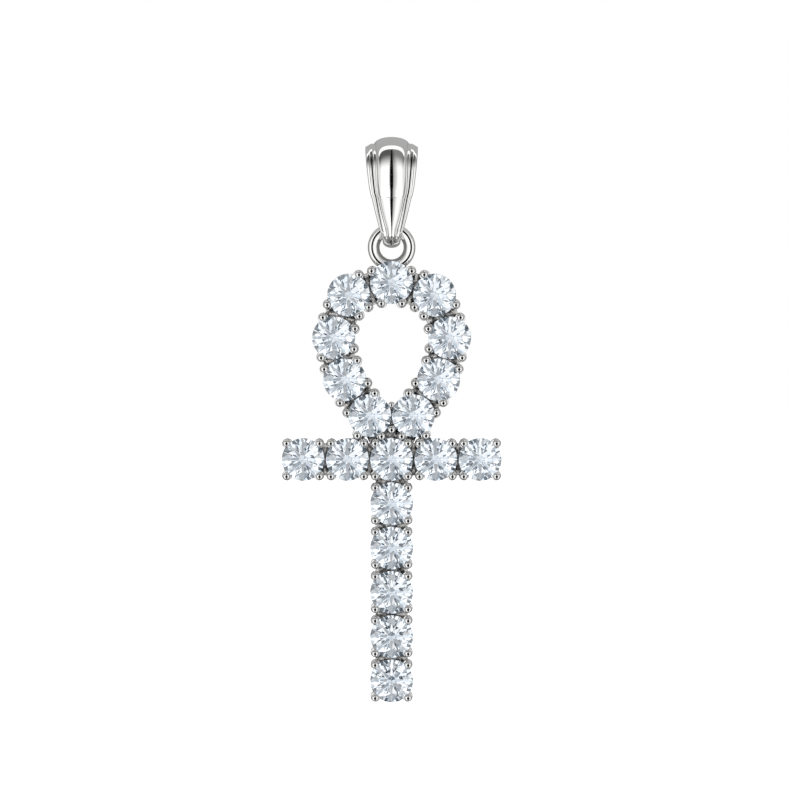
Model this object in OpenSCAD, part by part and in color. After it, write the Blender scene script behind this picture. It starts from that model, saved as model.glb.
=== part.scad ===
// Ankh pendant set with round brilliants: a cast claw setting with a soldered ring,
// one faceted stone in each claw head, and a ribbed teardrop bail threaded on the ring.
// Units are millimetres. X is right, -Y is the front, Z is up.
// The origin is the top of the bail's channel, where the chain carries the pendant.

/* [Stones] */
// Girdle diameter of each round stone
stone_d = 4; // [3.6:0.1:4.6]
// Gap between the girdles of two neighbours
stone_gap = 0.12; // [0.1:0.02:0.16]
// Diameter of the table across its corners
table_d = 2.28; // [1.9:0.02:2.6]
// Angle of the kite facets above the girdle
crown_angle = 34.5; // [31:0.5:37]
// Angle of the main facets below the girdle
pavilion_angle = 40.75; // [39:0.25:42]
// Height of the girdle where it is thinnest
girdle_h = 0.1; // [0.06:0.01:0.16]
// Turn of every stone's facets about its axis
facet_turn = 0; // [0:2.5:45]

/* [Ankh] */
// Stones in each arm beside the middle one
arm_stones = 2; // [1:1:3]
// Stones in the stem below the bar
stem_stones = 5; // [3:1:7]

/* [Claws] */
// Radius of the bead that ends each claw
bead_r = 0.375; // [0.34:0.01:0.4]
// Distance of a claw's axis outside the girdle
claw_out = 0.17; // [0.12:0.01:0.2]
// Height of the bead's centre above the girdle
bead_lift = 0.36; // [0.33:0.01:0.38]
// Radius of a claw's post
post_r = 0.32; // [0.3:0.01:0.33]
// Radius of a claw's foot, which stands nearer the basket than its post
foot_r = 0.5; // [0.44:0.02:0.54]
// Distance from a foot's outside to its post's axis
foot_out = 0.36; // [0.33:0.01:0.4]
// Depth of the top of a claw's foot behind the girdle
foot_top = 0.7; // [0.6:0.05:0.8]
// Angle between a claw and the line to the neighbouring stone
claw_spread = 47; // [45:1:49]
// Gap left between a stone and the metal around it
seat_gap = 0.04; // [0.03:0.01:0.06]

/* [Baskets] */
// How far a basket's rings stay inside the girdle's outline
ring_inset = 0.08; // [0.04:0.01:0.12]
// Depth of the seat ring's front face behind the girdle
seat_top = 0.3; // [0.24:0.02:0.36]
// Height of the seat ring
seat_h = 0.55; // [0.5:0.05:0.7]
// Bore radius of the seat ring
seat_bore_r = 1.5; // [1.4:0.05:1.6]
// Depth of the gallery's front face behind the girdle
gallery_top = 1.5; // [1.3:0.05:1.6]
// Height of the gallery ring
gallery_h = 0.8; // [0.6:0.05:1]
// Bore radius of the gallery ring
gallery_bore_r = 1.3; // [1.1:0.05:1.5]
// Radius of the bars that tie each basket to its neighbours
tie_r = 0.36; // [0.3:0.02:0.38]
// Radius of the strut between the two claws that the last loop stones share
strut_r = 0.28; // [0.24:0.01:0.29]

/* [Ring] */
// Bore diameter of the soldered ring
ring_bore = 2.24; // [2.2:0.02:2.5]
// Wire diameter of the soldered ring
ring_wire = 1.1; // [0.9:0.05:1.15]
// How far the ring reaches behind the top stone
ring_sink = 0.94; // [0.84:0.02:1.2]
// Clearance between the ring's wire and the top stone's pavilion
ring_gap = 0.1; // [0.08:0.01:0.14]
// Clearance between the ring's wire and the bottom of the bail's eye
eye_gap = 0.05; // [0.03:0.01:0.08]

/* [Bail] */
// Width of the bail at its crown
bail_w = 4.9; // [4.2:0.1:5.6]
// Height of the channel from its top down to the bottom of its eye, which holds the ring
channel_h = 7.55; // [7:0.05:9]
// Radius of the eye at the bottom of the channel
eye_r = 0.78; // [0.76:0.01:0.85]
// Depth of the channel from front to back at its top
channel_d = 3.6; // [3:0.1:4.2]
// Slope of each leaf between the crown and the waist
leaf_angle = 28; // [24:1:32]
// Slope of each leg below the waist
leg_angle = 5; // [3:1:7]
// Radius of the hollow at the waist, over the middle rib
waist_round = 0.1; // [0.05:0.05:0.4]
// How far the channel's wall falls away towards its edges
wall_crown = 0.24; // [0.2:0.02:0.28]
// Thickness of the two outer rails
rail_t = 0.86; // [0.76:0.02:0.9]
// Step from the rails up to the inner band
band_step = 0.18; // [0.1:0.02:0.3]
// Rounding of the rails' and the band's edges
edge_r = 0.06; // [0.04:0.01:0.08]
// Rise of the middle rib at the crown
rib_rise = 0.64; // [0.5:0.02:0.8]
// Rise of the middle rib at its point
rib_end_rise = 0.3; // [0.2:0.02:0.4]
// Width of the middle rib in front
rib_w = 2.8; // [2.4:0.1:3]
// How much wider the rib is on top of the crown, to each side
rib_flare = 0.2; // [0:0.02:0.24]
// Width of the tip under the ring
tip_w = 1.66; // [1.4:0.02:1.76]
// Thickness of the tip under the ring
tip_t = 1.12; // [1:0.02:1.16]

/* [Hidden] */
$fn = 48;

// Columns of LOOP_PLACES, the stones of the loop right of the middle, in pitches from the top stone
PLACE_X = 0;
PLACE_DROP = 1;
LOOP_PLACES = [
    [0.97, 0.29],
    [1.31, 1.25],
    [1.06, 2.20],
    [0.49, 3.01],
];
BAR_DROP = 4;

// Columns of STONES
NAME = 0;
AT = 1;
CLAWS = 2;

// Directions of the two lower claws of the last loop stones, clear of the bar's own claws
LOW_CLAW_OUT = 237;
LOW_CLAW_IN = 300;
ROW_CLAWS = [for (k = [0:3]) 45 + 90 * k];

// The two claws that the last pair of loop stones share: height from their centres in pitches, and size
SHARED_UPPER = 0.25;
SHARED_LOWER = -0.31;
SHARED_UPPER_SIZE = 0.74;

stone_r = stone_d / 2;
pitch = stone_d + stone_gap;
table_r = table_d / 2;
crown_h = (stone_r - table_r) * tan(crown_angle);
star_r = (table_r * cos(22.5) + stone_r) / 2;
star_h = (stone_r - star_r * cos(22.5)) * tan(crown_angle);
lower_r = stone_r * 0.24;
lower_h = -girdle_h - (stone_r - lower_r * cos(22.5)) * tan(pavilion_angle);
culet_h = -girdle_h - stone_r * tan(pavilion_angle);

claw_at = stone_r + claw_out;
basket_r = stone_r - ring_inset;
base_h = -gallery_top - gallery_h;
// Two baskets nearer than this, in pitches, are neighbours
NEIGHBOUR = 1.2;

ring_r = (ring_bore + ring_wire) / 2;
ring_above = stone_r + ring_r + ring_wire / 2 - ring_sink;
wire_drop = ring_above - ring_r;
ring_h = -girdle_h - (stone_r - wire_drop) * tan(pavilion_angle)
    - (ring_wire / 2 + ring_gap) / cos(pavilion_angle);

eye_z = eye_r - channel_h;
swing_z = ring_wire / 2 + eye_gap - channel_h;
ring_z = swing_z - ring_r;
top_stone_z = ring_z - ring_above;

function turned(p, q) = atan2(q[1] - p[1], q[0] - p[0]);
function mirrored(p) = [-p[0], p[1]];
function mirrored_claws(claws) = [for (a = claws) 180 - a];

// Plan places of the stones, x right and y up from the top stone
loop_right = [for (row = LOOP_PLACES) pitch * [row[PLACE_X], -row[PLACE_DROP]]];
loop_last = len(loop_right) - 1;
bar_y = -BAR_DROP * pitch;

// Claws stand either side of the line to each neighbour
function claws_to(p, q) = [turned(p, q) - claw_spread, turned(p, q) + claw_spread];
function loop_claws(k) =
    let (before = k == 0 ? [0, 0] : loop_right[k - 1])
    k < loop_last
        ? concat(claws_to(loop_right[k], before), claws_to(loop_right[k], loop_right[k + 1]))
        : concat(claws_to(loop_right[k], before), [180 - LOW_CLAW_OUT, 180 - LOW_CLAW_IN]);
top_claws = concat(
    claws_to([0, 0], loop_right[0]),
    claws_to([0, 0], mirrored(loop_right[0]))
);

STONES = concat(
    [["stone_loop_top", [0, 0], top_claws]],
    [for (k = [0:loop_last]) [str("stone_loop_right_", k + 1), loop_right[k], loop_claws(k)]],
    [for (k = [0:loop_last])
        [str("stone_loop_left_", k + 1), mirrored(loop_right[k]), mirrored_claws(loop_claws(k))]],
    [["stone_bar_middle", [0, bar_y], ROW_CLAWS]],
    [for (k = [1:arm_stones]) [str("stone_arm_right_", k), [k * pitch, bar_y], ROW_CLAWS]],
    [for (k = [1:arm_stones]) [str("stone_arm_left_", k), [-k * pitch, bar_y], ROW_CLAWS]],
    [for (k = [1:stem_stones]) [str("stone_stem_", k), [0, bar_y - k * pitch], ROW_CLAWS]]
);

// Puts the ankh's plan, drawn flat with its stones facing up, upright and facing the front
module upright() {
    translate([0, ring_h, top_stone_z]) rotate([90, 0, 0]) children();
}

// Round brilliant with its girdle's upper edge near z = 0 and its table facing up.
// Rings of points: table, star tips, both edges of a 32-sided girdle, lower halves, culet.
// The girdle's edges lie in the planes of the facets that meet it, so it is scalloped.
GIRDLE_SIDES = 32;
function on_circle(r, a, z) = [r * cos(a), r * sin(a), z];
// Rise or fall of a half facet's plane at the girdle's points between its corners
function scallop(k, tip_r, tip_z) =
    k % 2 == 0 ? 0
    : let (mid = stone_r * cos(11.25))
        (stone_r - mid) * tip_z / (mid - tip_r * cos(11.25));

module brilliant() {
    table = [for (k = [0:7]) on_circle(table_r, 45 * k, crown_h)];
    stars = [for (k = [0:7]) on_circle(star_r, 45 * k + 22.5, star_h)];
    upper = [for (k = [0:GIRDLE_SIDES - 1])
        on_circle(stone_r, 11.25 * k, -scallop(k, star_r, star_h))];
    lower = [for (k = [0:GIRDLE_SIDES - 1])
        on_circle(stone_r, 11.25 * k, -girdle_h + scallop(k, lower_r, -lower_h - girdle_h))];
    halves = [for (k = [0:7]) on_circle(lower_r, 45 * k + 22.5, lower_h)];
    culet = [[0, 0, culet_h]];
    s0 = 8;
    u0 = 16;
    g0 = u0 + GIRDLE_SIDES;
    h0 = g0 + GIRDLE_SIDES;
    c0 = h0 + 8;
    polyhedron(
        points = concat(table, stars, upper, lower, halves, culet),
        faces = concat(
            [[7, 6, 5, 4, 3, 2, 1, 0]],
            [for (k = [0:7]) [k, (k + 1) % 8, s0 + k]],
            [for (k = [0:7]) [k, s0 + k, u0 + 4 * k, s0 + (k + 7) % 8]],
            [for (k = [0:7]) each [
                [s0 + k, u0 + 4 * k + 2, u0 + 4 * k + 1, u0 + 4 * k],
                [s0 + k, u0 + (4 * k + 4) % GIRDLE_SIDES, u0 + 4 * k + 3, u0 + 4 * k + 2],
            ]],
            [for (k = [0:GIRDLE_SIDES - 1])
                let (n = (k + 1) % GIRDLE_SIDES) each [
                    [u0 + k, u0 + n, g0 + n],
                    [u0 + k, g0 + n, g0 + k],
                ]],
            [for (k = [0:7]) each [
                [h0 + k, g0 + 4 * k, g0 + 4 * k + 1, g0 + 4 * k + 2],
                [h0 + k, g0 + 4 * k + 2, g0 + 4 * k + 3, g0 + (4 * k + 4) % GIRDLE_SIDES],
            ]],
            [for (k = [0:7]) [c0, h0 + (k + 7) % 8, g0 + 4 * k, h0 + k]]
        )
    );
}

module stone(s) {
    color("aliceblue") upright()
        translate(concat(s[AT], [0])) rotate([0, 0, facet_turn]) brilliant();
}

// The room cut out of a claw head for its stone, seat_gap larger than the stone all round
module stone_room() {
    r = stone_r + seat_gap;
    crown_slope = star_h / (stone_r - star_r);
    pavilion_slope = tan(pavilion_angle + 2.5);
    rotate_extrude() polygon([
        [0, -girdle_h - seat_gap - r * pavilion_slope],
        [r, -girdle_h - seat_gap],
        [r, seat_gap],
        [0, seat_gap + r * crown_slope],
    ]);
}

// One claw: a post from the basket's base, ending in a round bead
module claw(size = 1) {
    translate([0, 0, base_h]) cylinder(r = post_r * size, h = bead_lift - base_h);
    translate([0, 0, bead_lift]) sphere(r = bead_r * size);
}

// The wider foot of a claw, from the basket's base up
module foot() {
    translate([foot_out - foot_r, 0, base_h]) cylinder(r = foot_r, h = -foot_top - base_h);
}

module basket_ring(top, height, bore) {
    translate([0, 0, -top - height]) difference() {
        cylinder(r = basket_r, h = height);
        translate([0, 0, -1]) cylinder(r = bore, h = height + 2);
    }
}

module claw_head(s) {
    translate(concat(s[AT], [0])) {
        basket_ring(seat_top, seat_h, seat_bore_r);
        basket_ring(gallery_top, gallery_h, gallery_bore_r);
        for (a = s[CLAWS]) rotate([0, 0, a]) translate([claw_at, 0, 0]) {
            claw();
            foot();
        }
    }
}

// A round bar in the gallery's depth, shorter at each end than the line from p to q
module tie(p, q, r = tie_r, short = (gallery_bore_r + basket_r) / 2) {
    middle = (p + q) / 2;
    translate([middle[0], middle[1], -gallery_top - gallery_h / 2])
        rotate([0, 90, turned(p, q)]) cylinder(r = r, h = norm(q - p) - 2 * short, center = true);
}

module soldered_ring() {
    translate([0, ring_above, ring_h]) rotate_extrude()
        translate([ring_r, 0]) circle(r = ring_wire / 2);
}

module setting() {
    upper_shared = [0, loop_right[loop_last][1] + SHARED_UPPER * pitch];
    lower_shared = [0, loop_right[loop_last][1] + SHARED_LOWER * pitch];
    color("silver") upright() difference() {
        union() {
            for (s = STONES) claw_head(s);
            for (i = [1:len(STONES) - 1], j = [0:i - 1])
                if (norm(STONES[i][AT] - STONES[j][AT]) < NEIGHBOUR * pitch)
                    tie(STONES[i][AT], STONES[j][AT]);
            translate(upper_shared) claw(SHARED_UPPER_SIZE);
            translate(lower_shared) claw();
            tie(upper_shared, lower_shared, strut_r, 0);
            soldered_ring();
        }
        for (s = STONES) translate(concat(s[AT], [0])) stone_room();
    }
}

// The channel seen from the side, as [y, z]: an arc round the ring's eye, a leg, a hollow at the
// waist, a leaf, and the crown's arc, each tangent to the next. "turn" is the direction of the
// outward normal, from 0 at the bottom of the eye, over 90 at the front, to 180 at the crown.
function facing(turn) = [-sin(turn), -cos(turn)];
crown_r = channel_d / 2;
crown_centre = [0, -crown_r];
eye_centre = [0, eye_z];
leg_turn = 90 - leg_angle;
leaf_turn = 90 - leaf_angle;
leg_face = facing(leg_turn);
leaf_face = facing(leaf_turn);
waist_r = rail_t + band_step + rib_rise + waist_round;
// The hollow's centre lies waist_r outside both the leg's line and the leaf's
waist_from_leg = waist_r + leg_face * eye_centre + eye_r;
waist_from_leaf = waist_r + leaf_face * crown_centre + crown_r;
waist_centre = [
    waist_from_leg * leaf_face[1] - waist_from_leaf * leg_face[1],
    leg_face[0] * waist_from_leaf - leaf_face[0] * waist_from_leg,
] / (leg_face[0] * leaf_face[1] - leg_face[1] * leaf_face[0]);

EYE_STEPS = 10;
LEG_STEPS = 6;
WAIST_STEPS = 5;
LEAF_STEPS = 3;
CROWN_STEPS = 14;
TIP_ROUND_FROM = 40;
TIP_ROUND_TO = 74;

// A station is [turn, y and z of the channel's wall, share of the way round the eye]
function arc(centre, r, from, to, steps, near) = [for (k = [0:steps])
    let (turn = from + (to - from) * k / steps) [turn, centre + r * facing(turn), near]];
function between(p, q, turn, steps) = [for (k = [1:steps - 1]) [turn, p + (q - p) * k / steps, 1]];
front_stations = concat(
    [for (k = [0:EYE_STEPS]) let (turn = leg_turn * k / EYE_STEPS)
        [turn, eye_centre + eye_r * facing(turn), k / EYE_STEPS]],
    between(eye_centre + eye_r * leg_face, waist_centre - waist_r * leg_face, leg_turn, LEG_STEPS),
    arc(waist_centre, -waist_r, leg_turn, leaf_turn, WAIST_STEPS, 1),
    between(waist_centre - waist_r * leaf_face, crown_centre + crown_r * leaf_face, leaf_turn, LEAF_STEPS),
    arc(crown_centre, crown_r, leaf_turn, 180, CROWN_STEPS, 1)
);
stations = concat(
    front_stations,
    [for (k = [len(front_stations) - 2:-1:1])
        let (s = front_stations[k]) [360 - s[0], [-s[1][0], s[1][1]], s[2]]]
);

function smooth(t) = let (c = min(1, max(0, t))) c * c * (3 - 2 * c);

// Half width of the bail: a curved taper down to the eye, closing to the tip round it
TAPER = 0.62;
TAPER_POWER = 1.45;
function leaf_half_w(drop) = bail_w / 2 * (1 - TAPER * pow(min(1, max(0, drop)), TAPER_POWER));
eye_drop = (eye_r * cos(leg_turn) - eye_z) / channel_h;
function half_w(near, drop) = near < 1
    ? tip_w / 2 + (leaf_half_w(eye_drop) - tip_w / 2) * pow(near, 3)
    : leaf_half_w(drop);

// Right half of the ribbed section from inside to outside: [x, height above the channel wall].
// Rail, groove, band and domed rib follow the local half width w and drop, 0 at the crown.
RIB_POWER = 2.3;
RIB_END = 1.06;
FLARE_END = 0.14;
function ribbed(w, drop) =
    let (
        e = edge_r,
        flare = rib_flare * pow(max(0, 1 - drop / FLARE_END), 2),
        rib = rib_w / 2 * (1 - pow(max(0, min(1, drop / RIB_END)), RIB_POWER)) + e / 3 + flare,
        band = rail_t + band_step,
        rise = rib_rise + (rib_end_rise - rib_rise) * drop
    )
    concat(
        [
            [0, 0], [0.5 * w, 0.25 * wall_crown], [0.93 * w, 0.86 * wall_crown], [w, wall_crown + e],
            [w, rail_t - 3 * e], [0.98 * w, rail_t - 1.2 * e], [0.93 * w, rail_t - 0.2 * e],
            [0.87 * w, rail_t], [0.82 * w, rail_t - 1.5 * e], [0.79 * w, band - e],
            [0.75 * w, band], [rib + 0.06 * w, band],
        ],
        [for (a = [4, 24, 46, 68, 90]) [rib * cos(a), band - e / 2 + (rise + e / 2) * sin(a)]]
    );
HALF_POINTS = len(ribbed(1, 0));
function oval(w) = [for (k = [0:HALF_POINTS - 1])
    let (a = -90 + 180 * k / (HALF_POINTS - 1)) [w * cos(a), tip_t / 2 * (1 + sin(a))]];

function section(near, drop) =
    let (
        w = half_w(near, drop),
        turn = leg_turn * near,
        round = near < 1 ? 1 - smooth((turn - TIP_ROUND_FROM) / (TIP_ROUND_TO - TIP_ROUND_FROM)) : 0,
        half = (1 - round) * ribbed(w, drop) + round * oval(w)
    )
    concat(half, [for (k = [HALF_POINTS - 2:-1:1]) [-half[k][0], half[k][1]]]);

// One ring of points across the bail at a station
function station_ring(s) = [for (p = section(s[2], -s[1][1] / channel_h))
    let (at = s[1] + p[1] * facing(s[0])) [p[0], at[0], at[1]]];

module bail() {
    around = 2 * HALF_POINTS - 2;
    count = len(stations);
    color("gainsboro") polyhedron(
        points = [for (s = stations) each station_ring(s)],
        faces = [for (i = [0:count - 1], j = [0:around - 1])
            let (
                a = i * around + j,
                b = i * around + (j + 1) % around,
                c = ((i + 1) % count) * around + (j + 1) % around,
                d = ((i + 1) % count) * around + j
            )
            each [[a, b, c], [a, c, d]]
        ]
    );
}

setting();
bail();
for (s = STONES) {
    stone(s);
}
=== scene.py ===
import math

import bpy
import numpy as np
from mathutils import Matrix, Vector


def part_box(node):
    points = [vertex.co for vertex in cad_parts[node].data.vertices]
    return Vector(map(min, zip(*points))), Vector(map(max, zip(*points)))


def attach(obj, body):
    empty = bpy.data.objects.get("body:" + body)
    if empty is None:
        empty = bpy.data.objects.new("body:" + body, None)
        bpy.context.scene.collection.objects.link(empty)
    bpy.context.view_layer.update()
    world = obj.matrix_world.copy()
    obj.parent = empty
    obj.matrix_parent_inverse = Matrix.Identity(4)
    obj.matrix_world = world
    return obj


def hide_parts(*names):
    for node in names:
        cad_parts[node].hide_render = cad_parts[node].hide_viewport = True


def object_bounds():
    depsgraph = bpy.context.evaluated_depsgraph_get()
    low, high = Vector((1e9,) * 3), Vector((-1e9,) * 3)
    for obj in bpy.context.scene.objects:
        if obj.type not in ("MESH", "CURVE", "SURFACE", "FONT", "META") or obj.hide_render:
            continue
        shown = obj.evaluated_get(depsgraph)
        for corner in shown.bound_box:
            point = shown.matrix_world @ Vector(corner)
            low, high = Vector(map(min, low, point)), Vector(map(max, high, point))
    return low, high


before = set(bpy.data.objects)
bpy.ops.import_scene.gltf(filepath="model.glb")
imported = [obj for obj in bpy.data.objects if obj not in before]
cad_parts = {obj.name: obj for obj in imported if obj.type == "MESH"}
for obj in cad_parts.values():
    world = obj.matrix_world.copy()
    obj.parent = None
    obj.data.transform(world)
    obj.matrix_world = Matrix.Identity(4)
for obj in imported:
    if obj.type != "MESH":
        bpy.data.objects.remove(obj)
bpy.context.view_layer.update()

# An ankh pendant: a rhodium plated silver setting with a soldered ring, 19 clear round brilliants,
# and a ribbed bail that the ring hangs in. Lengths are in millimetres, and become metres when they
# go into a mesh or a node. Turns and tilts are in degrees.
MM = 0.001

# The photograph's frame: its side in pixels, where the top stone's axis meets it, and its scale
PHOTO_PX = 790
TOP_STONE_PX = (391.6, 282.3)
PX_PER_MM = 10.75
CAMERA_DISTANCE = 600.0
SENSOR_W = 36

# The stones: cut, pitch and the room that a head leaves round each
STONE_R = 2.0
PITCH = 4.12
GIRDLE_H = 0.1
CROWN_H = 0.591
CROWN_SLOPE = math.tan(math.radians(29))
PAVILION_SLOPE = math.tan(math.radians(43.25))
SEAT_GAP = 0.03
ROOM_LEAST = 0.7

# The claws: bead, post and foot. Heights are from the girdle's front edge, forward
BEAD_R, BEAD_LIFT = 0.375, 0.36
BEAD_WAIST, BEAD_STEP = 40, 6
FLAT_TILT, FLAT_AT = 13, 0.342
CLAW_OUT, CLAW_SPREAD = 0.17, 47
POST_R, POST_SOFT = 0.32, 0.05
NECK_H = -0.2
FOOT_R, FOOT_OUT = 0.5, 0.42
FOOT_TOP, FOOT_SOFT, FOOT_CHAMFER = -0.7, 0.1, 0.05
BASE_H = -2.3
POST_IN_FOOT = 0.4
PLAIN_CLAWS = [45, 135, 225, 315]
LOW_CLAWS = (237, 300)
SHARED_UPPER, SHARED_LOWER = 0.25, -0.31
SHARED_UPPER_SIZE = 0.74

# The baskets, the metal between them and the strut between the two shared claws
RING_INSET, BASKET_SOFT = 0.08, 0.06
SEAT_TOP, SEAT_H, SEAT_BORE_R = -0.3, 0.55, 1.5
GALLERY_TOP, GALLERY_H, GALLERY_BORE_R = -1.5, 0.8, 1.3
NEIGHBOUR, CLOSE = 1.2, 1.05
WEB_HALF_W, WEB_MIDDLE, WEB_WIDE, WEB_NARROW = 1.5, 0.9, 1.15, 0.5
WEB_TOP, WEB_H, WEB_SHORT, WEB_SOFT = -0.75, 1.35, 1.6, 0.1
SLANT_WEB_LOWER, FOOT_WEB_HIGHER, FOOT_WEB_FROM = 0.1, 0.05, 0.3
STRUT_R, STRUT_END, STRUT_END_R = 0.28, 0.03, 0.85

# The soldered ring
RING_R, WIRE_R, WIRE_LEAN = 1.67, 0.55, 0.3
BEVEL_TURN, BEVEL_AT, CREST_AT = 54, 0.45, 0.541
SWING_Z = -6.95

# The bail: its channel from the side, its leaf from the front, and its section
BAIL_W, CHANNEL_H = 4.9, 7.55
EYE_R, CROWN_R = 0.78, 1.8
LEG_TURN, LEAF_TURN = 85, 62
WALL_CROWN, RAIL_T, EDGE_R = 0.24, 0.86, 0.06
GROOVE_D, GROOVE_FLOOR = 0.1, (0.82, 0.80, 0.76, 0.74)
BAND_STEP, BAND_SLOPE = 0.18, 0.12
RIB_W, RIB_RISE, RIB_END_RISE = 2.8, 0.64, 0.3
RIB_POWER, RIB_END = 2.3, 1.06
RIB_FLARE, FLARE_END = 0.2, 0.14
FILL_END, FILL_DROP, FILL_W = 0.12, 0.1, 0.25
WAIST_R = RAIL_T + BAND_STEP + RIB_RISE + 0.1
TIP_W, TIP_T = 1.66, 1.12
TAPER, TAPER_POWER = 0.62, 1.45
TIP_ROUND_FROM, TIP_ROUND_TO = 40, 74
CORNER_ROUNDS = 3

# The floor: how far it lies under the pendant, and half its side
FLOOR_GAP, FLOOR_HALF = 0.2, 4000.0

# sRGB hex colours
WHITE = "FFFFFF"
RHODIUM = "E2E2E1"
# The recesses' own silver colour, and the painted shade of their dark patches
RECESS, RECESS_PAINTED_SHADE = "DEDDDC", "5E5D5D"
CLEAR, FROSTED = "FBFDFF", "8A9298"
FLOOR = "F4F4F4"
CARD_LIGHT, CARD_TINT, CARD_SHADE = "FFFFFF", "DDE8F3", "152C3A"

# Finishes: pattern sizes, roughness, and the stones' index of refraction
HAZE_SIZE, HAZE_ROUGH = 1 / 0.9, (0.05, 0.1)
GRAIN_SIZE, GRAIN_DEPTH, GRAIN_STRENGTH = 1 / 3, 0.1, 0.8
# Where the recesses' painted shade starts and ends in the noise
SHADE_PATCH_EDGE = (0.38, 0.62)
DETAIL = 3.0
RECESS_ROUGH, FROSTED_ROUGH, FLOOR_ROUGH = 0.3, 0.6, 0.3
STONE_IOR = 2.17
FROSTED_SHARE = 0.46
FLOOR_GLOW = 0.9

# Light by direction. aside is to the right of the camera, lift is up from the camera over the top
# with 90 overhead, height is above the horizon, and x, y, z and front run from -1 to 1. A pair
# gives where a soft edge starts and where it ends.
TENT, SIDE, SIDE_EDGE = 1.45, 0.7, (0.6, 0.92)
PANEL_LEFT, PANEL_RIGHT, PANEL_MIDDLE = 0.12, 0.28, (-0.05, 0.1)
PANEL_LIFT, PANEL_ENDS = (8, 66), (0.98, 0.8)
FLOOR_SHADE, UNDER_EDGE = 0.15, (-72, -62)
BACK_LOW, BACK_HIGH, BACK_RISE, BACK_EDGE = 0.3, 0.52, (0.0, 0.6), (-0.1, 0.25)
OVERHEAD, STRIP_EDGE, STRIP_ENDS = 90, (6, 11), (0.9, 0.75)
WEDGE_FROM, WEDGE_LOW, WEDGE_LEVEL, WEDGE_TOP = -56, 7.5, 6.0, (82, 78)
CORE_EDGE = (0.8, 1.5)
HAZE, HAZE_EDGE, HAZE_START = 0.6, (5, 1), (0, 0.5)

# The cards that shine through the stones. Those towards the camera, and a ring of them about 40
# degrees off it, are lit up, because the middles of the stones show these.
CARD_SCALE, CARD_SHIFT = 10.0, (13.4, 13.4, 10.5)
CARD_EDGE, CARD_STRENGTH = (0.29, 0.78), 1.4
FRONT_LIGHT, FRONT_EDGE = 0.38, (0.88, 0.96)
RING_OF_LIGHT, RING_LIGHT, RING_EDGE = 0.76, 0.7, (0.02, 0.04)

# Node settings that come up often
SMOOTH = {"interpolation_type": "SMOOTHSTEP"}
COLOURS = {"data_type": "RGBA"}
TIMES, LESS, MOST = {"operation": "MULTIPLY"}, {"operation": "SUBTRACT"}, {"operation": "MAXIMUM"}
SIZE_OF, DEGREES = {"operation": "ABSOLUTE"}, {"operation": "DEGREES"}


def linear(hex_colour):
    """Linear RGBA from an sRGB hex colour: the standard sRGB curve, channel by channel."""
    srgb = np.array([int(hex_colour[k:k + 2], 16) for k in (0, 2, 4)]) / 255
    rgb = np.where(srgb <= 0.04045, srgb / 12.92, ((srgb + 0.055) / 1.055) ** 2.4)
    return (*rgb.tolist(), 1.0)


def add(tree, kind, settings=None, inputs=()):
    """Adds a node with its settings, and fills inputs by place or name with values or links."""
    new = tree.nodes.new(kind)
    for key, value in (settings or {}).items():
        setattr(new, key, value)
    for key, value in inputs.items() if isinstance(inputs, dict) else enumerate(inputs):
        if isinstance(value, bpy.types.Node):
            value = value.outputs[0]
        if isinstance(value, bpy.types.NodeSocket):
            tree.links.new(value, new.inputs[key])
        else:
            new.inputs[key].default_value = value
    return new


def new_material(name):
    """An empty node material, and its tree."""
    material = bpy.data.materials.new(name)
    material.use_nodes = True
    material.node_tree.nodes.clear()
    return material, material.node_tree


# Rhodium plated sterling silver, cast and polished on felt: a bright neutral mirror.
# The polish leaves a faint haze in spots about a millimetre wide, which softens reflections.
def polished_rhodium():
    material, tree = new_material("polished_rhodium_plate")
    place = add(tree, "ShaderNodeTexCoord").outputs["Object"]
    spots = add(tree, "ShaderNodeTexNoise", None, {
        "Vector": place, "Scale": 1 / (HAZE_SIZE * MM), "Detail": DETAIL})
    rough = add(tree, "ShaderNodeMapRange", None, [spots, 0, 1, *HAZE_ROUGH])
    shader = add(tree, "ShaderNodeBsdfPrincipled", None, {
        "Base Color": linear(RHODIUM), "Metallic": 1.0, "Roughness": rough})
    add(tree, "ShaderNodeOutputMaterial", None, {"Surface": shader})
    return material


# The silver between the heads, which the felt doesn't reach: matt from the mould, with a pitted
# skin, and dark patches of painted shade that darken the recesses between the heads. Its real
# grain, about 0.05 mm, is too fine to show, so it is drawn at a third of a millimetre; the painted
# shade follows the same noise.
def recessed_silver_painted_shade():
    material, tree = new_material("cast_silver_in_recesses_painted_shade")
    place = add(tree, "ShaderNodeTexCoord").outputs["Object"]
    grain_and_shade = add(tree, "ShaderNodeTexNoise", None, {
        "Vector": place, "Scale": 1 / (GRAIN_SIZE * MM), "Detail": DETAIL})
    # Painted shade: the noise darkens patches of the recesses between the heads
    painted_shade_patches = add(tree, "ShaderNodeMapRange", SMOOTH, [grain_and_shade, *SHADE_PATCH_EDGE, 0, 1])
    colour = add(tree, "ShaderNodeMix", COLOURS, {
        0: painted_shade_patches, 6: linear(RECESS_PAINTED_SHADE), 7: linear(RECESS)})
    pits = add(tree, "ShaderNodeBump", None, {
        "Height": grain_and_shade, "Strength": GRAIN_STRENGTH, "Distance": GRAIN_DEPTH * MM})
    shader = add(tree, "ShaderNodeBsdfPrincipled", None, {
        "Base Color": colour.outputs[2], "Metallic": 1.0, "Roughness": RECESS_ROUGH,
        "Normal": pits})
    add(tree, "ShaderNodeOutputMaterial", None, {"Surface": shader})
    return material


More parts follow.
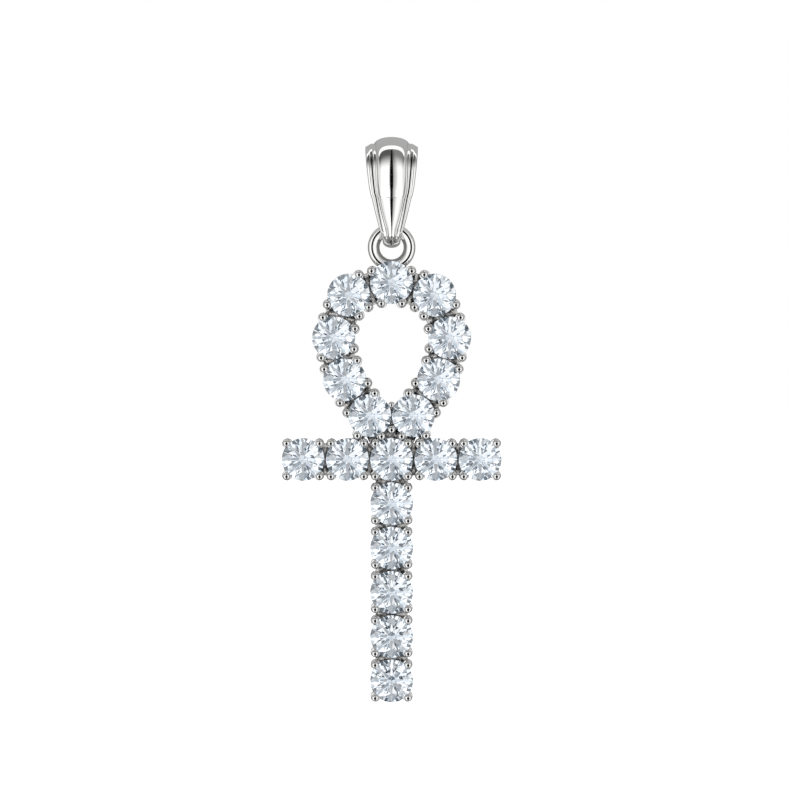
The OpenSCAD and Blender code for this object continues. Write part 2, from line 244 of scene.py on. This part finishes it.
# Clear cubic zirconia, cut and polished: colourless, with a high index that turns light back
# through the table. The girdle is left as it was ground, a pale frosted band round the edge.
def brilliant_stone():
    material, tree = new_material("clear_cubic_zirconia")
    place = add(tree, "ShaderNodeTexCoord").outputs["Object"]
    depth = add(tree, "ShaderNodeSeparateXYZ", None, [place]).outputs["Y"]
    girdle = add(tree, "ShaderNodeMath", {"operation": "COMPARE"}, [
        depth, (GIRDLE_Y + GIRDLE_H / 2) * MM, FROSTED_SHARE * GIRDLE_H * MM])
    clear = add(tree, "ShaderNodeBsdfPrincipled", None, {
        "Base Color": linear(CLEAR), "Roughness": 0.0, "IOR": STONE_IOR,
        "Transmission Weight": 1.0})
    frosted = add(tree, "ShaderNodeBsdfPrincipled", None, {
        "Base Color": linear(FROSTED), "Roughness": FROSTED_ROUGH, "IOR": STONE_IOR})
    both = add(tree, "ShaderNodeMixShader", None, [girdle, clear, frosted])
    add(tree, "ShaderNodeOutputMaterial", None, {"Surface": both})
    return material


# White acrylic sheet under the pendant: pale, with a weak soft gloss.
def white_sheet():
    material, tree = new_material("white_acrylic_sheet")
    shader = add(tree, "ShaderNodeBsdfPrincipled", None, {
        "Base Color": linear(FLOOR), "Roughness": FLOOR_ROUGH,
        "Emission Color": linear(WHITE), "Emission Strength": FLOOR_GLOW})
    add(tree, "ShaderNodeOutputMaterial", None, {"Surface": shader})
    return material


def studio_dome():
    """World light: a white tent with a grey panel above, grey behind, and dark round the camera.

    The dark part is a wedge that narrows upwards, with a haze on its right. Its half-width falls
    from WEDGE_LOW at WEDGE_FROM to WEDGE_LEVEL at the horizon, and by the same ratio on upwards.
    What shines through the stones is a wall of cards. The camera itself sees white."""
    world = bpy.data.worlds.new("studio_dome")
    bpy.context.scene.world = world
    world.use_nodes = True
    tree = world.node_tree
    tree.nodes.clear()
    way = add(tree, "ShaderNodeTexCoord").outputs["Generated"]
    x, y, z = add(tree, "ShaderNodeSeparateXYZ", None, [way]).outputs
    front = add(tree, "ShaderNodeMath", TIMES, [y, -1.0])
    aside = add(tree, "ShaderNodeMath", DEGREES, [
        add(tree, "ShaderNodeMath", {"operation": "ARCTAN2"}, [x, front])])
    lift = add(tree, "ShaderNodeMath", DEGREES, [
        add(tree, "ShaderNodeMath", {"operation": "ARCTAN2"}, [z, front])])
    height = add(tree, "ShaderNodeMath", DEGREES, [
        add(tree, "ShaderNodeMath", {"operation": "ARCSINE"}, [z])])

    # The dark wedge: a core, the haze beside it, and its end near the top
    up = add(tree, "ShaderNodeMapRange", {"clamp": False}, [height, WEDGE_FROM, 0, 0, 1])
    half_width = add(tree, "ShaderNodeMath", TIMES, [
        add(tree, "ShaderNodeMath", {"operation": "POWER"}, [WEDGE_LEVEL / WEDGE_LOW, up]),
        WEDGE_LOW])
    share = add(tree, "ShaderNodeMath", {"operation": "DIVIDE"}, [aside, half_width])
    core = add(tree, "ShaderNodeMapRange", SMOOTH, [
        add(tree, "ShaderNodeMath", SIZE_OF, [share]), *CORE_EDGE, 1, 0])
    haze = add(tree, "ShaderNodeMath", TIMES, [
        add(tree, "ShaderNodeMapRange", SMOOTH, [share, *HAZE_EDGE, 0, HAZE]),
        add(tree, "ShaderNodeMapRange", None, [share, *HAZE_START, 0, 1])])
    dark = add(tree, "ShaderNodeMath", TIMES, [
        add(tree, "ShaderNodeMath", MOST, [core, haze]),
        add(tree, "ShaderNodeMapRange", SMOOTH, [height, *WEDGE_TOP, 0, 1])])

    # The tent, its panel, its sides and what lies under it, then the back and the strip overhead
    side = add(tree, "ShaderNodeMapRange", SMOOTH, [x, *PANEL_MIDDLE, PANEL_LEFT, PANEL_RIGHT])
    across = add(tree, "ShaderNodeMath", SIZE_OF, [x])
    above = add(tree, "ShaderNodeMath", TIMES, [
        add(tree, "ShaderNodeMapRange", SMOOTH, [lift, *PANEL_LIFT, 0, 1]),
        add(tree, "ShaderNodeMapRange", SMOOTH, [across, *PANEL_ENDS, 0, 1])])
    panel = add(tree, "ShaderNodeMix", None, {0: above, 2: TENT, 3: side})
    sides = add(tree, "ShaderNodeMapRange", SMOOTH, [across, *SIDE_EDGE, 1, SIDE])
    under = add(tree, "ShaderNodeMapRange", SMOOTH, [height, *UNDER_EDGE, FLOOR_SHADE, 1])
    tent = add(tree, "ShaderNodeMath", TIMES, [
        panel, add(tree, "ShaderNodeMath", TIMES, [sides, under])])
    behind = add(tree, "ShaderNodeMapRange", SMOOTH, [y, *BACK_EDGE, 0, 1])
    back = add(tree, "ShaderNodeMapRange", SMOOTH, [z, *BACK_RISE, BACK_LOW, BACK_HIGH])
    dim = add(tree, "ShaderNodeMix", None, {0: behind, 2: tent, 3: back})
    off_top = add(tree, "ShaderNodeMath", SIZE_OF, [
        add(tree, "ShaderNodeMath", LESS, [lift, OVERHEAD])])
    strip = add(tree, "ShaderNodeMath", TIMES, [
        add(tree, "ShaderNodeMapRange", SMOOTH, [off_top, *STRIP_EDGE, TENT, 0]),
        add(tree, "ShaderNodeMapRange", SMOOTH, [across, *STRIP_ENDS, 0, 1])])
    lit = add(tree, "ShaderNodeMath", MOST, [dim, strip])
    light = add(tree, "ShaderNodeMath", TIMES, [
        lit, add(tree, "ShaderNodeMath", LESS, [1, dark])])

    # The cards: cells of chance brightness and tint
    moved = add(tree, "ShaderNodeVectorMath", {"operation": "ADD"}, [way, CARD_SHIFT])
    cells = add(tree, "ShaderNodeTexVoronoi", None, {"Vector": moved, "Scale": CARD_SCALE})
    chance = add(tree, "ShaderNodeSeparateXYZ", None, [cells.outputs["Color"]]).outputs
    off_ring = add(tree, "ShaderNodeMath", SIZE_OF, [
        add(tree, "ShaderNodeMath", LESS, [front, RING_OF_LIGHT])])
    lit_up = add(tree, "ShaderNodeMath", MOST, [
        add(tree, "ShaderNodeMapRange", SMOOTH, [front, *FRONT_EDGE, 0, FRONT_LIGHT]),
        add(tree, "ShaderNodeMapRange", SMOOTH, [off_ring, *RING_EDGE, RING_LIGHT, 0])])
    card = add(tree, "ShaderNodeMix", None, {
        0: lit_up, 2: add(tree, "ShaderNodeMapRange", SMOOTH, [chance["X"], *CARD_EDGE, 0, 1]),
        3: 1.0})
    tinted = add(tree, "ShaderNodeMix", COLOURS, {
        0: chance["Y"], 6: linear(CARD_TINT), 7: linear(CARD_LIGHT)})
    through = add(tree, "ShaderNodeMix", COLOURS, {
        0: card, 6: linear(CARD_SHADE), 7: tinted.outputs[2]})
    bright = add(tree, "ShaderNodeVectorMath", {"operation": "SCALE"}, {
        0: through.outputs[2], "Scale": CARD_STRENGTH})

    path = add(tree, "ShaderNodeLightPath").outputs
    mixed = add(tree, "ShaderNodeMix", COLOURS, {
        0: path["Is Transmission Ray"], 6: light, 7: bright})
    seen = add(tree, "ShaderNodeMix", COLOURS, {
        0: path["Is Camera Ray"], 6: mixed.outputs[2], 7: linear(WHITE)})
    sky = add(tree, "ShaderNodeBackground", None, {"Color": seen.outputs[2], "Strength": 1.0})
    add(tree, "ShaderNodeOutputWorld", None, {"Surface": sky})


def grid_faces(rows, columns, close_rows=False):
    """Quads of a grid whose columns close on themselves, row by row."""
    i = np.arange(rows if close_rows else rows - 1)[:, None]
    j = np.arange(columns)[None, :]
    k, n = (i + 1) % rows, (j + 1) % columns
    corners = (i * columns + j, i * columns + n, k * columns + n, k * columns + j)
    return np.stack(np.broadcast_arrays(*corners), -1).reshape(-1, 4)


def capped(points, rows, columns):
    """A grid tube with its faces, closed by a fan to the middle of its first and its last row."""
    first, last = points[:columns].mean(axis=0), points[-columns:].mean(axis=0)
    j = np.arange(columns)
    n = (j + 1) % columns
    a, b = len(points), len(points) + 1
    base = (rows - 1) * columns
    start = np.stack([np.full(columns, a), n, j], -1)
    end = np.stack([np.full(columns, b), base + j, base + n], -1)
    closed = np.concatenate([points, [first, last]])
    return closed, grid_faces(rows, columns), np.concatenate([start, end])


def mesh_object(name, points, quads, triangles=np.zeros((0, 3), int), rounded=True):
    """A mesh object from points in millimetres, with quads and triangles as arrays."""
    mesh = bpy.data.meshes.new(name)
    mesh.from_pydata((points * MM).tolist(), [], quads.tolist() + triangles.tolist())
    mesh.polygons.foreach_set("use_smooth", np.full(len(mesh.polygons), rounded))
    mesh.update()
    thing = bpy.data.objects.new(name, mesh)
    bpy.context.scene.collection.objects.link(thing)
    return thing


def revolved(radii, heights, sides, centre):
    """Rings of radius r at height h round the upright at (x, y): (x + r cos a, y + r sin a, h)."""
    a = np.linspace(0, 2 * np.pi, sides, endpoint=False)
    r, h = np.asarray(radii)[:, None], np.asarray(heights)[:, None]
    x = centre[0] + r * np.cos(a)
    y = centre[1] + r * np.sin(a)
    points = np.stack(np.broadcast_arrays(x, y, h), -1).reshape(-1, 3)
    return points, len(radii), sides


def rounded_box(low, high, bottom, top, soft, steps):
    """Closed section of a box with quarter-circle corners: centre plus soft (cos a, sin a)."""
    parts = []
    corners = ((high, top, 0), (low, top, 90), (low, bottom, 180), (high, bottom, 270))
    for x, y, start in corners:
        a = np.radians(start + np.linspace(0, 90, steps))
        cx = x - soft if x == high else x + soft
        cy = y - soft if y == top else y + soft
        parts.append(np.stack([cx + soft * np.cos(a), cy + soft * np.sin(a)], -1))
    return np.concatenate(parts)


class Casting:
    """Closed shells gathered into one mesh."""

    def __init__(self):
        self.points, self.quads, self.triangles, self.count = [], [], [], 0

    def add(self, points, quads, triangles=np.zeros((0, 3), int)):
        """One more shell, its faces counted on from the points already there."""
        self.points.append(points)
        self.quads.append(quads + self.count)
        self.triangles.append(triangles + self.count)
        self.count += len(points)

    def arrays(self):
        """All points, quads and triangles."""
        parts = (self.points, self.quads, self.triangles)
        return [np.concatenate(part) for part in parts]


def stone_centre(name):
    """x and z of a stone's axis, in millimetres: the middle of its box."""
    low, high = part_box(name)
    return np.array([(low.x + high.x) / 2, (low.z + high.z) / 2]) / MM


# Places in the setting's plan: u to the right of the top stone, v up from it, and h forward of
# the girdles' front edges
TOP_STONE = "stone_loop_top"
BAR_MIDDLE = "stone_bar_middle"
STONES = sorted(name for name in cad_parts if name.startswith("stone_"))
TOP_AT = stone_centre(TOP_STONE)
PLAN = {name: stone_centre(name) - TOP_AT for name in STONES}
GIRDLE_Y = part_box(TOP_STONE)[0].y / MM + CROWN_H
LOOP = [TOP_STONE] + [f"stone_loop_right_{k}" for k in (1, 2, 3, 4)]
LOOP_FOOT = {"stone_loop_right_4", "stone_loop_left_4"}


def upright(plan):
    """Plan points (u, v, h) stood up: x = u, y = girdle plane - h, z = top stone + v."""
    return np.stack([plan[:, 0] + TOP_AT[0], GIRDLE_Y - plan[:, 2], plan[:, 1] + TOP_AT[1]], -1)


def claws_to(p, q):
    """Directions of the two claws either side of the line from p to q: its own, less and plus
    CLAW_SPREAD."""
    turn = math.degrees(math.atan2(q[1] - p[1], q[0] - p[0]))
    return [turn - CLAW_SPREAD, turn + CLAW_SPREAD]


def mirrored(turns):
    """Directions seen in the upright through the top stone: 180 less each."""
    return [180 - turn for turn in turns]


def claw_directions():
    """Every stone's claw directions: round the loop towards its neighbours, elsewhere diagonal."""
    claws = {name: PLAIN_CLAWS for name in STONES}
    right = [PLAN[name] for name in LOOP]
    for k, name in enumerate(LOOP[1:], start=1):
        after = claws_to(right[k], right[k + 1]) if k + 1 < len(LOOP) else mirrored(LOW_CLAWS)
        claws[name] = claws_to(right[k], right[k - 1]) + after
        claws[name.replace("right", "left")] = mirrored(claws[name])
    first = claws_to(right[0], right[1])
    claws[TOP_STONE] = first + mirrored(first)
    return claws


def seated(points):
    """Points pressed out of every stone's room, away from that stone's axis.

    The room's radius at height h is the stone's and the gap; ahead of the girdle it is less by
    the height over the crown's slope, and behind it by the depth over the pavilion's slope.
    Points stay where the room is under ROOM_LEAST of a stone."""
    full = STONE_R + SEAT_GAP
    crown = full - (points[:, 2] - SEAT_GAP) / CROWN_SLOPE
    pavilion = full + (points[:, 2] + GIRDLE_H + SEAT_GAP) / PAVILION_SLOPE
    room = np.minimum(full, np.minimum(crown, pavilion))
    for at in PLAN.values():
        away = points[:, :2] - at
        r = np.maximum(np.hypot(away[:, 0], away[:, 1]), 1e-6)
        inside = (r < room) & (room > ROOM_LEAST * STONE_R)
        points[:, :2] = at + away * np.where(inside, room / r, 1.0)[:, None]
    return points


def lowered(points):
    """Basket points pressed back under every stone's pavilion: h at most the room's floor."""
    full = STONE_R + SEAT_GAP
    for at in PLAN.values():
        r = np.hypot(*(points[:, :2] - at).T)
        floor = -GIRDLE_H - SEAT_GAP - (full - r) * PAVILION_SLOPE
        points[:, 2] = np.where(r < full, np.minimum(points[:, 2], floor), points[:, 2])
    return points


def add_claw(casting, u, v, size=1.0, base=BASE_H, sides=24):
    """A post under a round bead: POST_R up to where it meets the sphere, then r = R cos and
    h = lift + R sin of the latitude.

    Polishing leaves a small flat on the bead: points past its plane go back on to it."""
    meet = -math.acos(POST_R / BEAD_R)
    lat = np.concatenate([np.linspace(meet, math.radians(BEAD_WAIST), 8)[:-1],
                          np.radians(np.arange(BEAD_WAIST, 90, BEAD_STEP))])
    post = [POST_R - POST_SOFT, POST_R, POST_R, POST_R]
    radii = np.concatenate([post, BEAD_R * np.cos(lat)]) * size
    heights = np.concatenate([[base, base + POST_SOFT, FOOT_TOP, NECK_H],
                              BEAD_LIFT + BEAD_R * size * np.sin(lat)])
    points, rows, columns = revolved(radii, heights, sides, (u, v))
    tilt = math.radians(FLAT_TILT)
    ahead, up = points[:, 2] - BEAD_LIFT, points[:, 1] - v
    over = np.maximum(0, ahead * math.cos(tilt) - up * math.sin(tilt) - FLAT_AT * size)
    points -= over[:, None] * np.array([0, -math.sin(tilt), math.cos(tilt)])
    points, quads, fans = capped(points, rows, columns)
    casting.add(seated(points), quads, fans)


def add_foot(casting, u, v, direction, sides=20):
    """The claw's foot: a round post set towards the basket, its front edge a quarter circle.

    It ends FOOT_CHAMFER ahead of the base, so that its end and the post's aren't in one plane."""
    a = math.radians(direction)
    back = FOOT_OUT - FOOT_R
    turn = np.radians([0, 30, 60, 85])
    low = BASE_H + FOOT_CHAMFER
    radii = np.concatenate([[FOOT_R - FOOT_CHAMFER, FOOT_R],
                            FOOT_R - FOOT_SOFT + FOOT_SOFT * np.cos(turn)])
    heights = np.concatenate([[low, low + FOOT_CHAMFER],
                              FOOT_TOP - FOOT_SOFT + FOOT_SOFT * np.sin(turn)])
    centre = (u + back * math.cos(a), v + back * math.sin(a))
    points, quads, fans = capped(*revolved(radii, heights, sides, centre))
    casting.add(seated(points), quads, fans)


def add_basket_ring(casting, at, top, height, bore, sides=40):
    """A ring of rounded box section carried round the stone's axis."""
    section = rounded_box(bore, STONE_R - RING_INSET, top - height, top, BASKET_SOFT, 3)
    points, rows, columns = revolved(section[:, 0], section[:, 1], sides, at)
    casting.add(lowered(points), grid_faces(rows, columns, close_rows=True))


def add_strut(casting, p, q, sides=16):
    """A round bar at the gallery's depth from p to q: centre plus r (across cos a, ahead sin a)."""
    along = (q - p) / np.linalg.norm(q - p)
    across = np.array([-along[1], along[0]])
    middle_h = GALLERY_TOP - GALLERY_H / 2
    a = np.linspace(0, 2 * np.pi, sides, endpoint=False)
    rings = []
    for share, r in ((0, STRUT_END_R), (STRUT_END, 1), (1 - STRUT_END, 1), (1, STRUT_END_R)):
        u, v = p + (q - p) * share
        rings.append(np.stack([u + across[0] * STRUT_R * r * np.cos(a),
                               v + across[1] * STRUT_R * r * np.cos(a),
                               middle_h + STRUT_R * r * np.sin(a)], -1))
    casting.add(*capped(np.concatenate(rings), len(rings), sides))


def add_web(casting, p, q, half_w, top):
    """The metal between two baskets: a rounded box section carried from wall to wall."""
    along = (q - p) / np.linalg.norm(q - p)
    across = np.array([-along[1], along[0]])
    section = rounded_box(-half_w, half_w, top - WEB_H, top, WEB_SOFT, 4)
    wide, deep = section.T
    ends = [p + along * WEB_SHORT, q - along * WEB_SHORT]
    rings = [np.stack([u + across[0] * wide, v + across[1] * wide, deep], -1) for u, v in ends]
    casting.add(*capped(np.concatenate(rings), len(rings), len(section)))


def add_ring(casting, sides=160, wire_sides=64):
    """The soldered ring: a torus, its wire's section leaning outwards in front by the sine squared.

    Its front is filed: points past CREST_AT, and past the plane BEVEL_AT on the inner edge, go
    back on to them."""
    centre_v = SWING_Z - RING_R - TOP_AT[1]
    t = np.linspace(0, 2 * np.pi, sides, endpoint=False)[:, None]
    a = np.linspace(0, 2 * np.pi, wire_sides, endpoint=False)[None, :]
    out = WIRE_R * (np.cos(a) + WIRE_LEAN * np.maximum(0, np.sin(a)) ** 2)
    ahead = np.minimum(WIRE_R * np.sin(a), CREST_AT)
    face = math.radians(BEVEL_TURN)
    over = np.maximum(0, ahead * math.cos(face) - out * math.sin(face) - BEVEL_AT)
    r = RING_R + out + over * math.sin(face)
    h = GIRDLE_Y + ahead - over * math.cos(face) + 0 * t
    points = np.stack([r * np.cos(t), centre_v + r * np.sin(t), h], -1).reshape(-1, 3)
    casting.add(points, grid_faces(sides, wire_sides, close_rows=True)[:, ::-1])


def add_webs(webs):
    """A web from each head to each neighbour. No two that cross have their fronts in one plane."""
    names = list(PLAN)
    for i, first in enumerate(names):
        for second in names[:i]:
            apart = np.linalg.norm(PLAN[first] - PLAN[second]) / PITCH
            if apart < NEIGHBOUR:
                half_w, top = WEB_HALF_W, WEB_TOP
                if {first, second} == LOOP_FOOT:
                    half_w = WEB_MIDDLE
                elif apart > CLOSE:
                    half_w = WEB_WIDE if BAR_MIDDLE in (first, second) else WEB_NARROW
                    top = WEB_TOP - SLANT_WEB_LOWER
                add_web(webs, PLAN[first], PLAN[second], half_w, top)
    foot_v = PLAN[LOOP[-1]][1] + FOOT_WEB_FROM
    add_web(webs, np.array([0, foot_v]), PLAN[BAR_MIDDLE], WEB_MIDDLE, WEB_TOP + FOOT_WEB_HIGHER)


def make_setting():
    """Claw heads for all stones, the two claws shared inside the loop, the ring, and the webs.

    Webs and seats are matt, with patches of painted shade, and come last, so that their faces are
    known by their points."""
    casting, matt = Casting(), Casting()
    claws = claw_directions()
    for name, at in PLAN.items():
        add_basket_ring(matt, at, SEAT_TOP, SEAT_H, SEAT_BORE_R)
        add_basket_ring(casting, at, GALLERY_TOP, GALLERY_H, GALLERY_BORE_R)
        for direction in claws[name]:
            a = math.radians(direction)
            u, v = at + (STONE_R + CLAW_OUT) * np.array([math.cos(a), math.sin(a)])
            add_claw(casting, u, v, base=BASE_H + POST_IN_FOOT)
            add_foot(casting, u, v, direction)
    last_v = PLAN[LOOP[-1]][1]
    upper = np.array([0, last_v + SHARED_UPPER * PITCH])
    lower = np.array([0, last_v + SHARED_LOWER * PITCH])
    add_claw(casting, *upper, size=SHARED_UPPER_SIZE)
    add_claw(casting, *lower)
    add_strut(casting, upper, lower)
    add_ring(casting)
    add_webs(matt)
    polished = casting.count
    casting.add(*matt.arrays())
    points, quads, fans = casting.arrays()
    piece = mesh_object("cast_setting", upright(points), quads, fans)
    piece.data.materials.append(polished_rhodium())
    piece.data.materials.append(recessed_silver_painted_shade())
    corner = np.concatenate([quads[:, 0], fans[:, 0]])
    piece.data.polygons.foreach_set("material_index", (corner >= polished).astype(int))
    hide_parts("setting")
    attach(piece, "ankh")


def eased(t):
    """0 to 1 with level ends: t squared times (3 - 2 t), t held between 0 and 1."""
    c = np.clip(t, 0, 1)
    return c * c * (3 - 2 * c)


def facing(turn):
    """Outward normal as (y, z) of a turn: 0 down, 90 forward, 180 up."""
    t = np.radians(turn)
    return np.stack([-np.sin(t), -np.cos(t)], -1)


def bail_stations(eye=36, leg=10, waist=14, leaf=30, crown=48):
    """The channel's wall from the side, right round: turn of the normal, (y, z), share of the eye.

    An arc round the eye, a leg, a hollow at the waist, a leaf, and the crown's arc, each tangent
    to the next. The hollow's centre lies WAIST_R outside both the leg's line and the leaf's."""
    eye_at, crown_at = np.array([0, EYE_R - CHANNEL_H]), np.array([0, -CROWN_R])
    leg_face, leaf_face = facing(LEG_TURN), facing(LEAF_TURN)
    waist_at = np.linalg.solve([leg_face, leaf_face], [
        WAIST_R + leg_face @ eye_at + EYE_R, WAIST_R + leaf_face @ crown_at + CROWN_R])
    eye_turn = np.linspace(0, LEG_TURN, eye + 1)
    waist_turn = np.linspace(LEG_TURN, LEAF_TURN, waist + 1)
    crown_turn = np.linspace(LEAF_TURN, 180, crown + 1)
    k = np.linspace(0, 1, leg + 1)[1:-1, None]
    m = np.linspace(0, 1, leaf + 1)[1:-1, None]
    leg_wall = (1 - k) * (eye_at + EYE_R * leg_face) + k * (waist_at - WAIST_R * leg_face)
    leaf_wall = (1 - m) * (waist_at - WAIST_R * leaf_face) + m * (crown_at + CROWN_R * leaf_face)
    turn = np.concatenate([
        eye_turn, np.full(leg - 1, LEG_TURN), waist_turn, np.full(leaf - 1, LEAF_TURN), crown_turn])
    wall = np.concatenate([
        eye_at + EYE_R * facing(eye_turn), leg_wall, waist_at - WAIST_R * facing(waist_turn),
        leaf_wall, crown_at + CROWN_R * facing(crown_turn)])
    near = np.concatenate([eye_turn / LEG_TURN, np.ones(len(turn) - len(eye_turn))])
    back = slice(-2, 0, -1)
    return (np.concatenate([turn, 360 - turn[back]]), np.concatenate([wall, wall[back] * [-1, 1]]),
            np.concatenate([near, near[back]]))


def leaf_half_w(drop):
    """Half width of the leaf: less by TAPER times the drop, a share of the channel, to a power."""
    return BAIL_W / 2 * (1 - TAPER * np.clip(drop, 0, 1) ** TAPER_POWER)


def half_w(near, drop):
    """Half width: round the eye, tip plus the rest times near cubed; above it, the leaf's."""
    rise = EYE_R - EYE_R * math.cos(math.radians(LEG_TURN))
    end = leaf_half_w((CHANNEL_H - rise) / CHANNEL_H)
    return np.where(near < 1, TIP_W / 2 + (end - TIP_W / 2) * near ** 3, leaf_half_w(drop))


def ribbed(w, drop):
    """Half section from inside to outside: crowned wall, rail, groove, band and domed rib.

    Each point is a share of the half width and a height. The groove's floor has four points in
    one line, which keep it flat when the corners are cut, so that it mirrors the dark round the
    camera. The rib is half an oval, w/2 (1 - drop to a power) wide, with a flare at the crown."""
    e = EDGE_R
    flare = RIB_FLARE * np.maximum(0, 1 - drop / FLARE_END) ** 2
    rib = RIB_W / 2 * (1 - np.clip(drop / RIB_END, 0, 1) ** RIB_POWER) + e / 3 + flare
    rise = RIB_RISE + (RIB_END_RISE - RIB_RISE) * drop
    band, floor = RAIL_T + BAND_STEP, RAIL_T - GROOVE_D
    wall_and_rail = (
        (0, 0), (0.5, 0.25 * WALL_CROWN), (0.93, 0.86 * WALL_CROWN),
        (1, WALL_CROWN + e), (1, RAIL_T - 3 * e), (0.98, RAIL_T - 1.2 * e),
        (0.93, RAIL_T - 0.2 * e), (0.86, RAIL_T - 0.2 * e))
    shares = wall_and_rail + tuple((at, floor) for at in GROOVE_FLOOR) + (
        (0.72, band - e), (0.69, band))
    outline = [(share * w, np.full_like(w, level)) for share, level in shares]
    outline += [(rib + 0.06 * w, band + BAND_SLOPE * np.maximum(0, 0.63 * w - rib))]
    outline += [(rib * math.cos(a), band - e / 2 + (rise + e / 2) * math.sin(a))
                for a in np.radians([4, 24, 46, 68, 90])]
    return np.stack([np.stack(pair, -1) for pair in outline], 1)


def filled(half, w, drop):
    """Near the crown the groove fills up: rail, groove and band go over to one eased slope that
    rises from the edge, FILL_DROP under the rail, to the band's height."""
    share = eased(1 - drop / FILL_END)[:, None]
    part = slice(4, 14)
    wide = w[:, None]
    inwards = eased((wide - half[:, part, 0]) / (FILL_W * wide))
    slope = RAIL_T - FILL_DROP + (BAND_STEP + FILL_DROP) * inwards
    half[:, part, 1] += share * (slope - half[:, part, 1])
    return half


def oval(w, count):
    """Half oval of the tip: (w cos a, t/2 (1 + sin a))."""
    a = np.radians(-90 + 180 * np.arange(count) / (count - 1))
    return np.stack([w[:, None] * np.cos(a), TIP_T / 2 * (1 + np.sin(a)) + 0 * w[:, None]], -1)


def corners_cut(ring):
    """One round of corner cutting on closed sections: points at 1/4 and 3/4 of every side."""
    after = np.roll(ring, -1, axis=1)
    cut = np.stack([0.75 * ring + 0.25 * after, 0.25 * ring + 0.75 * after], 2)
    return cut.reshape(ring.shape[0], -1, 2)


def make_bail():
    """The section carried round the channel's wall, an oval at the tip, its corners cut.

    A point is the wall's plus the section's height times the wall's outward normal."""
    turn, wall, near = bail_stations()
    drop = -wall[:, 1] / CHANNEL_H
    w = half_w(near, drop)
    share = 1 - eased((LEG_TURN * near - TIP_ROUND_FROM) / (TIP_ROUND_TO - TIP_ROUND_FROM))
    share = np.where(near < 1, share, 0)[:, None, None]
    full = ribbed(w, drop)
    half = filled((1 - share) * full + share * oval(w, full.shape[1]), w, drop)
    ring = np.concatenate([half, half[:, -2:0:-1] * [-1, 1]], 1)
    for _ in range(CORNER_ROUNDS):
        ring = corners_cut(ring)
    x, p = ring[..., 0], ring[..., 1]
    at = wall[:, None, :] + p[..., None] * facing(turn)[:, None, :]
    points = np.concatenate([x[..., None], at], -1).reshape(-1, 3)
    piece = mesh_object("ribbed_bail", points, grid_faces(*x.shape, close_rows=True)[:, ::-1])
    piece.data.materials.append(polished_rhodium())
    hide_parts("bail")
    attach(piece, "bail")


def make_camera():
    """A level camera facing +Y, where the top stone and the scale meet the photograph's pixels."""
    middle = PHOTO_PX / 2
    data = bpy.data.cameras.new("camera")
    data.sensor_width = SENSOR_W
    data.lens = CAMERA_DISTANCE / (PHOTO_PX / PX_PER_MM) * SENSOR_W
    data.clip_start = MM
    camera = bpy.data.objects.new("camera", data)
    camera.location = np.array([
        TOP_AT[0] + (middle - TOP_STONE_PX[0]) / PX_PER_MM,
        GIRDLE_Y - CAMERA_DISTANCE,
        TOP_AT[1] - (middle - TOP_STONE_PX[1]) / PX_PER_MM,
    ]) * MM
    camera.rotation_euler = (math.radians(90), 0, 0)
    bpy.context.scene.collection.objects.link(camera)
    bpy.context.scene.camera = camera


def make_stage():
    """A flat floor just under the pendant. The camera alone sees it: the metal and the stones
    show the tent in its place."""
    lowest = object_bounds()[0][2] / MM - FLOOR_GAP
    sides = np.array([[-1, -1], [1, -1], [1, 1], [-1, 1]]) * FLOOR_HALF
    corners = np.column_stack([sides, np.full(4, lowest)])
    floor = mesh_object("floor", corners, np.array([[0, 1, 2, 3]]), rounded=False)
    floor.data.materials.append(white_sheet())
    floor.visible_glossy = False
    floor.visible_transmission = False
    floor.visible_diffuse = False


make_camera()
studio_dome()
make_stage()
make_setting()
make_bail()
stone = brilliant_stone()
for name in STONES:
    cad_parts[name].data.materials.clear()
    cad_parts[name].data.materials.append(stone)

# Light goes back and forth in a cut stone many times
scene = bpy.context.scene
scene.view_settings.view_transform = "Standard"
scene.cycles.max_bounces = 24
scene.cycles.glossy_bounces = 8
scene.cycles.transmission_bounces = 24
